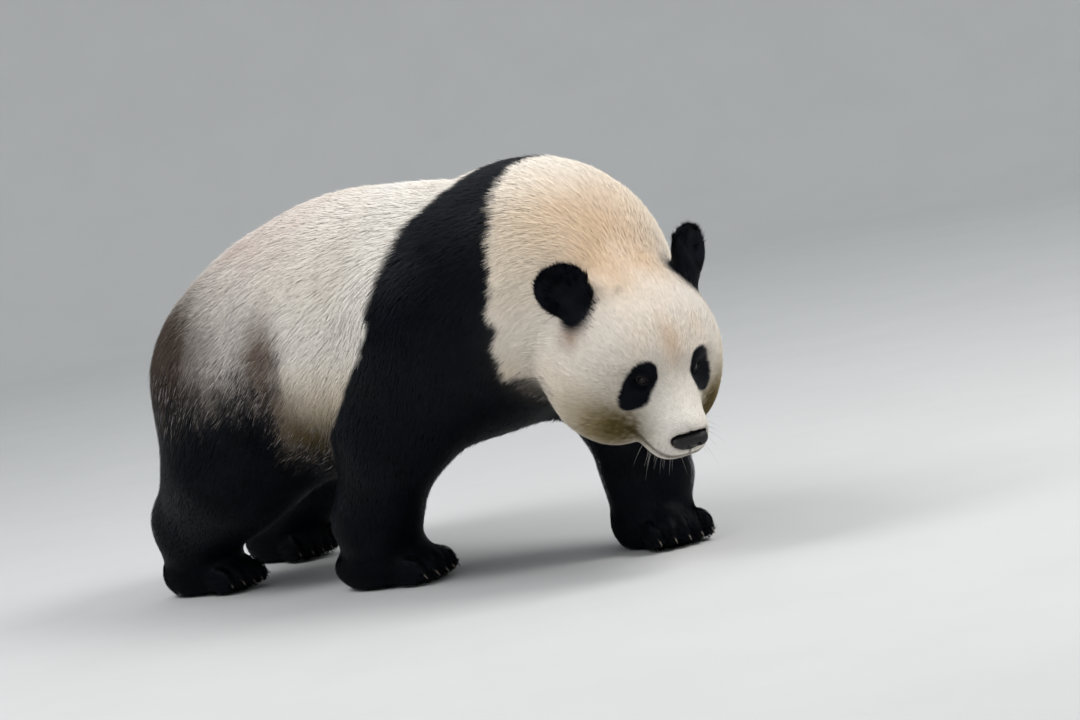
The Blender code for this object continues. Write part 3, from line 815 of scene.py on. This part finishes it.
def nose_material():
    m = Nodes("nose_leather", Specular_IOR_Level=0.35)
    tone = m.noise(60, 3.0)
    m.colour(m.mixed((0.0035, 0.0032, 0.0034), (0.009, 0.0075, 0.008), tone))
    m.roughness(m.ramp(m.noise(300, 2.0), 0.28, 0.44))
    cells = m.add("ShaderNodeTexVoronoi")
    cells.inputs["Scale"].default_value = 900
    m.wire(m.place(), cells.inputs["Vector"])
    m.bump(cells.outputs["Distance"], 0.0005, 0.6)
    return m.material


def eye_material():
    """Dark brown iris round a black pupil; "ring" runs from 0 at the middle of the pupil outward."""
    m = Nodes("eye_wet", Specular_IOR_Level=0.20)
    ring = m.attribute("ring").outputs["Fac"]
    fibres = m.noise(500, 2.0)
    iris = m.mixed((0.004, 0.0024, 0.0018), (0.012, 0.006, 0.0035), fibres)
    ramp = m.add("ShaderNodeValToRGB")
    stops = ramp.color_ramp.elements
    stops[0].position, stops[0].color = 0.30, (0.0, 0.0, 0.0, 1)
    stops[1].position, stops[1].color = 0.36, (1, 1, 1, 1)
    for position, value in ((0.66, 1.0), (0.74, 0.12), (1.0, 0.10)):
        stop = stops.new(position)
        stop.color = (value, value, value, 1)
    m.wire(ring, ramp.inputs["Fac"])
    m.colour(m.mixed((0.004, 0.003, 0.003), iris, ramp.outputs["Color"]))
    m.roughness(m.ramp(m.noise(40, 1.0), 0.03, 0.06))
    return m.material


def claw_material():
    m = Nodes("claw_horn", Coat_Weight=0.2, Coat_Roughness=0.3)
    grain = m.noise(120, 3.0, stretch=(1, 1, 0.25))
    along_claw = m.attribute("tip").outputs["Fac"]
    base = m.mixed((0.05, 0.040, 0.031), (0.15, 0.125, 0.095), grain)
    m.colour(m.mixed((0.035, 0.028, 0.022), base, along_claw))
    m.roughness(m.ramp(m.noise(200, 2.0), 0.34, 0.50))
    m.bump(m.noise(260, 3.0, stretch=(1, 1, 0.2)), 0.0003, 0.5)
    return m.material


def floor_material():
    m = Nodes("studio_floor")
    tone = m.noise(3.0, 3.0)
    m.colour(m.mixed((0.50, 0.50, 0.495), (0.54, 0.54, 0.535), tone))
    m.roughness(m.ramp(m.noise(8.0, 2.0), 0.75, 0.90))
    return m.material


# ---- the pieces ----

REGIONS = ("face", "crown", "neck", "shoulders", "barrel", "rump", "forelegs", "hindlegs", "cheeks")


def region_of(p, share):
    """Which piece of the coat each point belongs to, as an index into REGIONS."""
    q = in_head(p)
    x, _, z = p.T
    on_head = share["head"] + share["ears"] > 0.5
    on_ears = share["ears"] > 0.3
    region = np.full(len(p), REGIONS.index("rump"))
    for name, found in (("barrel", x > -0.08),
                        ("shoulders", x > 0.27),
                        ("neck", x > np.interp(z, *BAND_FRONT)),
                        ("forelegs", (pair(share, "fore") > 0.5) & (z < 0.36)),
                        ("hindlegs", (pair(share, "hind") > 0.5) & (z < 0.40)),
                        ("cheeks", on_head),
                        ("crown", on_head & ((q[:, 2] > 0.035) | on_ears)),
                        ("face", on_head & (q[:, 0] > 0.055) & ~on_ears)):
        region[found] = REGIONS.index(name)
    return region


def make_skin():
    """The skin's mesh: fine on the head, finer round the eyes, nose and mouth."""
    cell = 0.0092
    low, high = np.array([-0.70, -0.40, -0.03]), np.array([1.02, 0.40, 0.80])
    points, quads = surface_nets(sample(skin_distance, low, high, cell), low, cell)
    points = settle(skin_distance, points)
    mesh = quick_mesh("skin", points, quads)
    for level in range(3):
        bm = bmesh.new()
        bm.from_mesh(mesh)
        centres = np.array([face.calc_center_median() for face in bm.faces])
        q = in_head(centres)
        m, e = both_sides(q), both_ears(q)
        size = cell / 2**level
        eye = np.abs(np.linalg.norm(m - EYE_SET, axis=1) - BALL_RADIUS)
        if level == 0:
            wanted = (np.minimum(head(m), ears(e)) < 0.004) | (centres[:, 2] < 0.075)
        else:
            room, nose_room = ((0.010, 0.008), (0.006, 0.004))[level - 1]
            wanted = (eye < room) | (mouth_lines(m) < room) | (np.abs(nose_seat(m)) < nose_room)
            if level == 1:
                wanted |= ears(e) < -0.001
        edges = {edge for face, want in zip(bm.faces, wanted) if want for edge in face.edges}
        bmesh.ops.subdivide_edges(bm, edges=list(edges), cuts=1, use_grid_fill=True)
        bm.to_mesh(mesh)
        bm.free()
        points = read(mesh, "co")
        q = in_head(points)
        moved = np.minimum(head(both_sides(q)), ears(both_ears(q))) < 0.01
        moved |= points[:, 2] < 0.09
        points[moved] = settle(skin_distance, points[moved], e=0.0006, most=size * 0.5)
        move(mesh, points)
    return mesh


def triangles_of(mesh):
    """The vertex numbers of each triangle of the mesh."""
    mesh.calc_loop_triangles()
    verts = np.zeros(len(mesh.loop_triangles) * 3, np.int32)
    mesh.loop_triangles.foreach_get("vertices", verts)
    return verts.reshape(-1, 3)


TUFTS = dict(face=88000, crown=96000, cheeks=90000, neck=94000, shoulders=74000, barrel=88000, rump=78000,
             forelegs=68000, hindlegs=70000)
STRAYS = 0.03          # the part of the tufts that stand out past the others
SPECKLED = 0.10        # the part of the tufts that are grey where black and white meet
CLUMPING = 0.055       # how far the tips lean together, in lengths of the tuft
BURIED = 0.0012        # how far each tuft's base is sunk in the skin
# Painted shade: each tuft is darker at its base, where the tufts above it would shade it, and a touch lighter
# at its tip.
PAINTED_TUFT_SHADE = np.array([0.84, 0.98, 0.98, 1.02])   # from the base of a tuft to its tip
PATCH = 0.003          # width of a tuft's patch in the UV map


def tuft_size(depth, share, m):
    """Length and width of each tuft."""
    long = depth * 2.4
    wide = 0.0007 + 0.058 * depth
    long = long * (1 - 0.45 * spot(m, EYE_AT, (0.022, 0.022, 0.022)) * share["head"])
    return long, wide


def scatter(name, count, points, normals, verts, uv, rng):
    """Random places on the given triangles of the skin: point, normal and UV of each."""
    a, b, c = (points[verts[:, i]] for i in range(3))
    area = np.linalg.norm(np.cross(b - a, c - a), axis=1) / 2
    centre = (a + b + c) / 3
    m = both_sides(in_head(centre))
    crowd = np.ones(len(centre))
    if name == "face":
        crowd = 1 + 1.5 * step(m[:, 0], 0.06, 0.15)
    if name in ("forelegs", "hindlegs"):
        crowd = np.where(centre[:, 2] < 0.012, 0.35, 1 + 1.0 * step(centre[:, 2], 0.16, 0.05))
    total = np.cumsum(area * crowd)
    chosen = np.searchsorted(total, (np.arange(count) + rng.random(count)) / count * total[-1])
    chosen = np.minimum(chosen, len(area) - 1)
    u, v = rng.random(count), rng.random(count)
    over = u + v > 1
    u[over], v[over] = 1 - u[over], 1 - v[over]
    weights = np.stack([1 - u - v, u, v], 1)
    corner = verts[chosen]
    root, n, uv_root = (np.einsum("ij,ijk->ik", weights, values)
                        for values in (points[corner], normals[corner], uv[chosen]))
    return root, unit(n), uv_root


def tuft_colours(root, tip, share, rng):
    """The colour and the blackness of each tuft, taken from where it shows."""
    shown = root * 0.35 + tip * 0.65
    shown[:, 2] += 0.020 * rng.standard_normal(len(root)) * step(root[:, 0], 0.12, 0.02)
    colour, black, _ = marking(shown, shares(parts(shown)))
    tone = 1 + (0.04 + 0.045 * share["head"]) * rng.standard_normal(len(root))
    tone += (0.05 + 0.25 * black) * noise(root, 0.030, 41)
    speckle = (rng.random(len(root)) < SPECKLED) & (black > 0.05) & (black < 0.95)
    return np.where(speckle[:, None], GREY, colour) * tone.clip(0.65, 1.35)[:, None], black


def grow(name, count, points, normals, verts, uv, rng):
    """One piece of the coat: count tufts, rooted at random on the given triangles of the skin."""
    root, n, uv_root = scatter(name, count, points, normals, verts, uv, rng)
    share = shares(parts(root))
    m = both_sides(in_head(root))
    depth = coat_depth(root, share)
    bald = (eye_opening(m) < 0.0030) | (along(m, MOUTH, 0, 0) < 0.0030) | (nose_seat(m) < 0.0022)
    keep = ~(bald & (m[:, 0] > 0.05) & (share["head"] > 0.4))
    root, n, uv_root, m, depth = root[keep], n[keep], uv_root[keep], m[keep], depth[keep]
    share = {key: value[keep] for key, value in share.items()}
    count = len(root)

    flow = lie(root, n, share)
    across = unit(np.cross(n, flow))
    swirl = 0.16 * noise(root, 0.060, 21) + 0.12 * noise(root, 0.020, 22) + 0.10 * rng.standard_normal(count)
    flow = unit(flow + across * swirl[:, None])
    long, wide = tuft_size(depth, share, m)
    long = long * (1 + 0.16 * rng.standard_normal(count)).clip(0.6, 1.5)
    reach = (1.0 - 0.28 * rng.random(count) ** 1.6 + 0.03 * noise(root, 0.024, 23)) * depth
    stray = (rng.random(count) < STRAYS) & (depth > 0.008)
    reach = np.where(stray, depth * (1.02 + 0.18 * rng.random(count)), reach) * (1 - 0.15 * share["ears"])
    reach = np.minimum(reach, long * 0.8)
    run = np.sqrt(long**2 - reach**2)[:, None]
    tip = root + flow * run + n * reach[:, None]
    hold = 0.9 - 0.25 * share["ears"]
    shift = n * (hold * np.clip(outline(parts(tip)) - (reach - depth), -0.02, 0.02))[:, None]
    tip -= shift
    clump = np.stack([noise(root, 0.014, 31 + i) for i in range(3)], 1)
    clump -= n * dot(clump, n)[:, None]
    clump *= (CLUMPING * long)[:, None]
    tip += clump
    height = (0.76 + 0.12 * rng.random(count)) * reach
    middle = root + (flow * run + clump) * 0.46 + n * height[:, None] - shift * 0.35
    side = np.cross(unit(tip - root), n)
    side = unit(unit(side) + 0.10 * n * rng.standard_normal((count, 1)))
    half = side * (wide * (0.7 + 0.6 * rng.random(count)) / 2)[:, None]
    base = root - n * BURIED
    co = np.stack([base, middle - half, middle + half, tip], 1)
    co[:, :, 2] = np.maximum(co[:, :, 2], 0.0012)
    round_off = side * 0.20
    up = unit(n + 0.15 * unit(middle - root))
    shading = np.stack([up, unit(up - round_off), unit(up + round_off), unit(n + 0.25 * flow)], 1)

    colour, black = tuft_colours(root, tip, share, rng)
    # Each tuft's colour with painted shade toward its base.
    tint_and_root_shade = colour[:, None, :] * PAINTED_TUFT_SHADE[None, :, None]
    triangles = np.array([[0, 2, 1], [1, 2, 3]])
    faces = (np.arange(count)[:, None, None] * 4 + triangles[None]).reshape(-1, 3)
    mesh = quick_mesh("coat_" + name, co.reshape(-1, 3) + BODY_AT, faces)
    set_normals(mesh, shading.reshape(-1, 3))
    set_colour(mesh, "coat", tint_and_root_shade.reshape(-1, 3))
    set_number(mesh, "black", np.repeat(black, 4))
    patch = np.array([(0.0, -0.5), (-0.5, 0.0), (0.5, 0.0), (0.0, 0.5)]) * PATCH
    uv_all = np.clip(uv_root[:, None, :], 0.002, 0.998) + patch[None]
    layer = mesh.uv_layers.new(name="OFBake")
    layer.data.foreach_set("uv", uv_all.reshape(-1, 2)[faces.ravel()].astype(np.float32).ravel())
    return link("coat_" + name, mesh)


def make_coat(skin, material):
    """Every piece of the coat, on the skin's own triangles."""
    points, normals = read(skin, "co"), read(skin, "normal")
    verts = triangles_of(skin)
    centres = points[verts].mean(1)
    region = region_of(centres, shares(parts(centres)))
    pieces = []
    for number, name in enumerate(REGIONS):
        rng = np.random.default_rng(100 + number)
        mine = verts[region == number]
        used, local = np.unique(mine, return_inverse=True)
        local = local.reshape(-1, 3)
        uv = unwrapped(quick_mesh("patch", points[used], local)).reshape(-1, 3, 2)
        count = TUFTS[name] // 1
        piece = grow(name, count, points, normals, mine, uv, rng)
        piece.data.materials.append(material)
        pieces.append(piece)
    return pieces


def finish_skin(mesh, material):
    """Colours the skin's mesh and puts it in place as a piece."""
    points = read(mesh, "co")
    share = shares(parts(points))
    colour, black, bare = marking(points, share)
    # The skin under the coat: the coat's colour darkened as painted shade among the roots, with a pinkish skin
    # tint where the coat is white.
    under = mix(colour * 0.88, np.array([0.52, 0.40, 0.34]), 0.25 * (1 - black))
    set_colour(mesh, "coat", under)
    set_number(mesh, "bare", bare)
    move(mesh, points + BODY_AT)
    return finished("skin", mesh, material)


def make_eye(sign, material):
    """An eyeball with a raised cornea; its "ring" runs from the middle of the pupil outward."""
    out = HEAD_TURN @ (EYE_OUT * (1, sign, 1))
    across = unit(np.cross([0, 0, 1], out))
    up = np.cross(out, across)
    rings, sides, cornea = 28, 48, 0.045
    t = np.repeat(math.pi * np.arange(1, rings) / rings, sides)[:, None]
    a = np.tile(2 * math.pi * np.arange(sides) / sides, rings - 1)[:, None]
    ball = out * np.cos(t) + (across * np.cos(a) + up * np.sin(a)) * np.sin(t)
    ball *= 1 + cornea * np.exp(-(t / 0.55) ** 4)
    points = BALL_RADIUS * np.concatenate([[out * (1 + cornea)], ball, [-out]])
    last = len(points) - 1
    first = last - sides
    faces = [(0, 1 + j, 1 + (j + 1) % sides) for j in range(sides)]
    faces += tube(rings - 1, sides, first=1, inward=True)
    faces += [(first + (j + 1) % sides, first + j, last) for j in range(sides)]
    centre = from_head(EYE_SET * (1, sign, 1))
    mesh = quick_mesh("eyeball", points + centre + BODY_AT, np.array(faces))
    set_number(mesh, "ring", [0, *np.minimum(t[:, 0] / 0.75, 1), 1])
    return finished("eyeball_left" if sign > 0 else "eyeball_right", mesh, material)


def nose_distance(q):
    """The nose pad in its own frame: x ahead, z up, with nostrils that open to the sides."""
    m = both_sides(q)
    m[:, 1] *= 1 + 0.40 * step(-m[:, 2], 0.0, 0.020)
    d = ellipsoid(m, (0, 0, -0.001), (0.0165, 0.0325, 0.0125))
    d = join(d, ellipsoid(m, (0.004, 0.0185, -0.003), (0.0130, 0.0135, 0.0100)), 0.006)
    d = carve(d, limb(m, (0.0175, 0.0098, -0.0022), (0.0060, 0.0135, 0.0010), 0.0040, 0.0026), 0.002)
    d = carve(d, limb(m, (0.0165, 0.0125, -0.0050), (0.0100, 0.0290, -0.0065), 0.0019, 0.0010), 0.0015)
    return carve(d, limb(m, (0.0190, 0, 0.000), (0.0130, 0, -0.0190), 0.0009, 0.0014), 0.002)


def make_nose(material):
    low, high = np.array([-0.024, -0.040, -0.026]), np.array([0.026, 0.040, 0.026])
    points, quads = surface_nets(sample(nose_distance, low, high, 0.0009), low, 0.0009)
    points = settle(nose_distance, points, e=0.0003, most=0.0006)
    turn = HEAD_TURN @ rot("y", NOSE_PITCH)
    mesh = quick_mesh("nose_pad", points @ turn.T + from_head(NOSE_AT) + BODY_AT, quads)
    return finished("nose_pad", mesh, material)


def make_claw(name, root, heading, length, radius, material, sides=12, rings=12):
    """A curved, tapering claw from the toe at root, along heading and bending to the floor."""
    ahead = unit([*heading, 0])
    up = np.array([0, 0, 1.0])
    side = np.cross(up, ahead)
    points, tips = [], []
    for i in range(rings):
        t = i / (rings - 1)
        bend = 0.15 + 0.95 * t
        reach = t * length * 1.45 - 0.004 * (1 - t)
        middle = root + ahead * reach * math.cos(bend * 0.6) - up * reach * math.sin(bend * 0.45)
        r = radius * (1 - 0.86 * t**1.5)
        lift = unit(ahead * math.sin(bend) + up * math.cos(bend))
        for j in range(sides):
            a = 2 * math.pi * j / sides
            narrow = 0.72 if math.sin(a) > 0 else 0.55
            points.append(middle + side * (narrow * r * math.cos(a)) + lift * (r * math.sin(a)))
            tips.append(t)
    faces = tube(rings, sides)
    point = np.mean(points[-sides:], 0) + (points[-1] - points[-1 - sides]) * 0.3
    points += [np.mean(points[:sides], 0), point]
    tips += [0.0, 1.0]
    last = (rings - 1) * sides
    for j in range(sides):
        k = (j + 1) % sides
        faces += [(k, j, rings * sides), (last + j, last + k, rings * sides + 1)]
    co = np.array(points)
    co[:, 2] = np.maximum(co[:, 2], 0.0006)
    mesh = quick_mesh(name, co + BODY_AT, np.array(faces))
    set_number(mesh, "tip", tips)
    return finished(name, mesh, material)


def make_whiskers(material):
    """Fine pale bristles on the upper lips and the chin, three-sided and drooping."""
    rng = np.random.default_rng(61)
    sites = np.array([(0.172, 0.042, -0.058)] * 9 + [(0.138, 0.030, -0.112)] * 7)
    sites = np.concatenate([sites + 0.014 * rng.standard_normal(sites.shape) for _ in range(2)])
    sites[len(sites) // 2:, 1] *= -1
    root = settle(bare_distance, from_head(sites), rounds=4)
    out = unit(slope_of(bare_distance, root, 0.001))
    out = unit(out + 0.25 * rng.standard_normal(out.shape) + (0, 0, -0.35))
    length = 0.016 + 0.024 * rng.random((len(root), 1))
    across = unit(np.cross(out, (0.3, 0.2, 1.0)))
    other = np.cross(out, across)
    points, rings, sides, radius = [], 6, 3, 0.00032
    for i in range(rings):
        t = i / (rings - 1)
        middle = root + length * (out * t + np.array([0, 0, -0.40]) * t**2)
        for j in range(sides):
            a = 2 * math.pi * j / sides
            points.append(middle + (across * math.cos(a) + other * math.sin(a)) * radius * (1 - 0.85 * t))
    count, last = len(root), sides * (rings - 1)
    faces = tube(rings, sides) + [(0, 2, 1), (last, last + 1, last + 2)]
    faces = (np.array(faces)[None] * count + np.arange(count)[:, None, None]).reshape(-1, 3)
    mesh = quick_mesh("whiskers", np.concatenate(points) + BODY_AT, faces)
    set_colour(mesh, "coat", np.tile(WHITE * 0.6, (len(mesh.vertices), 1)))
    unwrapped(mesh)
    mesh.uv_layers.active.name = "OFBake"
    mesh.materials.append(material)
    return link("coat_whiskers", mesh)


def make_claws(material):
    """Each claw, with the node it stands for."""
    for leg_name, (_, leg, size) in LEGS.items():
        which, side = leg_name.split("_")
        length, radius = CLAW[which]
        spin = rot("z", leg["turn"])
        for number, toe in enumerate(toe_places(size), 1):
            root = spin @ (toe + np.array([0.016, 0, -0.001])) + np.array([*leg["paw"], 0.0])
            heading = (spin @ np.array([1.0, toe[1] * 1.5, 0]))[:2]
            toe_name = f"{which}_{side}_{number}"
            horn = make_claw("horn_" + toe_name, root, heading, length, radius, material)
            yield "claw_" + toe_name, horn


# ---- studio ----

def make_camera():
    """The whole walk, tilted a little, seen from the front right and just above level."""
    azimuth, elevation, roll = (math.radians(degrees) for degrees in (48, 5, 11))
    distance, lens = 7.0, 128.333
    between_feet, aside, above = Vector((-0.012, -0.14, 0.0)), 0.2691, 0.4091
    back = Vector((math.sin(azimuth) * math.cos(elevation), -math.cos(azimuth) * math.cos(elevation),
                   math.sin(elevation)))
    level = Vector((0, 0, 1)).cross(back).normalized()
    upright = back.cross(level)
    right = level * math.cos(roll) - upright * math.sin(roll)
    up = level * math.sin(roll) + upright * math.cos(roll)
    target = between_feet + right * aside + up * above
    data = bpy.data.cameras.new("camera")
    data.sensor_width = 36
    data.lens = lens
    data.clip_end = 60
    camera = link("camera", data)
    turn = Matrix((right, up, back)).transposed()
    camera.matrix_world = Matrix.Translation(target + back * distance) @ turn.to_4x4()
    bpy.context.scene.camera = camera


def make_light(name, place, target, size, power, colour=(1, 1, 1)):
    data = bpy.data.lights.new(name, "AREA")
    data.shape = "SQUARE"
    data.size = size
    data.energy = power
    data.color = colour
    light = link(name, data)
    light.location = place
    light.rotation_euler = (Vector(target) - Vector(place)).to_track_quat("-Z", "Y").to_euler()


def make_studio():
    """A pale floor that curves up into a round backdrop, under soft light from above."""
    world = bpy.data.worlds.new("studio")
    bpy.context.scene.world = world
    world.use_nodes = True
    background = world.node_tree.nodes["Background"]
    background.inputs["Color"].default_value = (0.92, 0.96, 1.0, 1)
    background.inputs["Strength"].default_value = 0.90
    make_light("key", (2.7, 1.5, 3.9), (0.15, 0, 0.4), 2.2, 134, (1.0, 0.985, 0.96))
    make_light("fill", (-1.3, -2.6, 4.2), (0, 0, 0.4), 2.6, 116)
    make_light("catch", (2.6, -3.6, 0.35), (0.7, 0, 0.35), 0.30, 14)
    bend, rise, top, sides = 7.0, 3.0, 6.0, 64
    profile = [(2.0, 0.0), (bend, 0.0)]
    profile += [(bend + rise * math.sin(a), rise * (1 - math.cos(a)))
                for a in np.linspace(0.1, math.pi / 2, 14)]
    profile += [(bend + rise, top)]
    points = [(r * math.cos(t), r * math.sin(t), z) for r, z in profile
              for t in np.linspace(0, 2 * math.pi, sides, endpoint=False)]
    points.append((0, 0, 0))
    faces = tube(len(profile), sides, inward=True)
    faces += [(len(points) - 1, j, (j + 1) % sides) for j in range(sides)]
    floor = quick_mesh("floor", np.array(points), np.array(faces))
    finished("floor", floor, floor_material())
    bpy.context.scene.view_settings.view_transform = "Standard"


PAIRED = "ear", "upper_arm", "forearm", "forepaw", "thigh", "shank", "hindpaw"
FLESH = ["belly", "chest", "neck", "rump", "tail", "head"]
FLESH += [f"{part}_{side}" for part in PAIRED for side in ("left", "right")]


def main():
    make_camera()
    make_studio()
    mesh = make_skin()
    hair = coat_material()
    pieces = make_coat(mesh, hair) + [make_whiskers(hair)]
    skin = finish_skin(mesh, skin_material())
    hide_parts(*FLESH)
    for piece in pieces:
        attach(piece, "root")
    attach(skin, "root")
    eye = eye_material()
    for sign, side in ((1, "left"), (-1, "right")):
        ball = make_eye(sign, eye)
        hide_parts("eye_" + side)
        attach(ball, "root")
    nose = make_nose(nose_material())
    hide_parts("nose")
    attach(nose, "root")
    for node, piece in make_claws(claw_material()):
        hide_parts(node)
        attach(piece, "root")


main()
